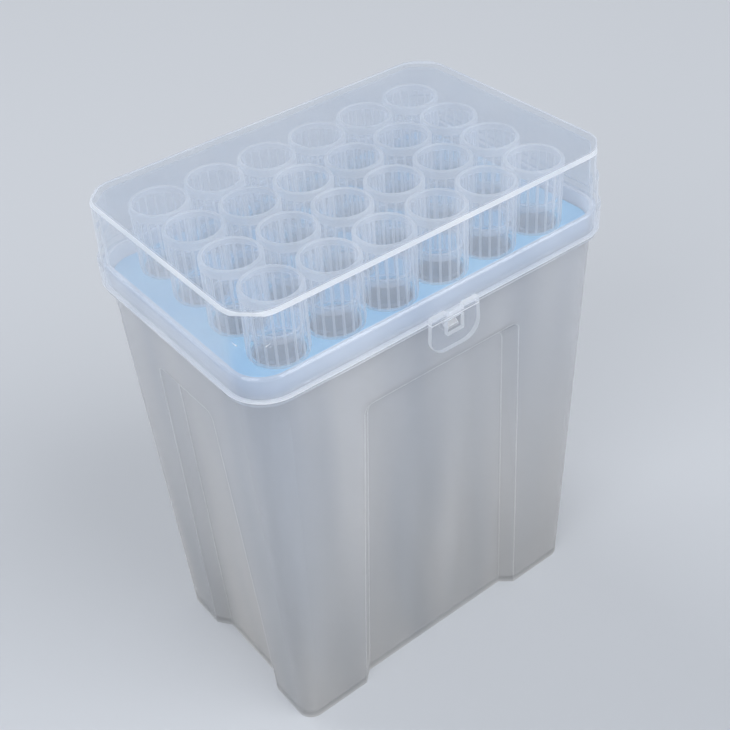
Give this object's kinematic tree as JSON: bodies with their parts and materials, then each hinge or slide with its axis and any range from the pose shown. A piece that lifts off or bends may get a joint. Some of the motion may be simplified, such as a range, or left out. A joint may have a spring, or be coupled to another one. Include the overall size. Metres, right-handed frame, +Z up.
{
  "type": "box of pipette tips",
  "caption": "Tall tapered box with a clear hinged lid and a front latch, holding large ribbed pipette tips upright in a blue tray.",
  "frame": {"origin": "middle of the base's flat underside", "axes": "+X along the front, +Y to the hinge at the back, +Z up"},
  "size_m": [0.1278, 0.0931, 0.165],
  "materials": {
    "frosted_shell": "satin",
    "blue_tray": "satin",
    "clear_lid": "gloss",
    "tip": "gloss"
  },
  "bodies": {
    "base": {"base": "frosted_shell", "tray": "blue_tray", "tip_a1": "tip", "tip_a2": "tip", "tip_a3": "tip", "tip_a4": "tip", "tip_a5": "tip", "tip_a6": "tip", "tip_b1": "tip", "tip_b2": "tip", "tip_b3": "tip", "tip_b4": "tip", "tip_b5": "tip", "tip_b6": "tip", "tip_c1": "tip", "tip_c2": "tip", "tip_c3": "tip", "tip_c4": "tip", "tip_c5": "tip", "tip_c6": "tip", "tip_d1": "tip", "tip_d2": "tip", "tip_d3": "tip", "tip_d4": "tip", "tip_d5": "tip", "tip_d6": "tip"},
    "lid": {"lid": "clear_lid"}
  },
  "joints": [
    {"name": "lid_hinge", "type": "hinge", "parent": "base", "child": "lid", "pos_m": [0, 0.0456, 0.1371], "axis": [-1, 0, 0], "range_deg": [0, 200]}
  ]
}
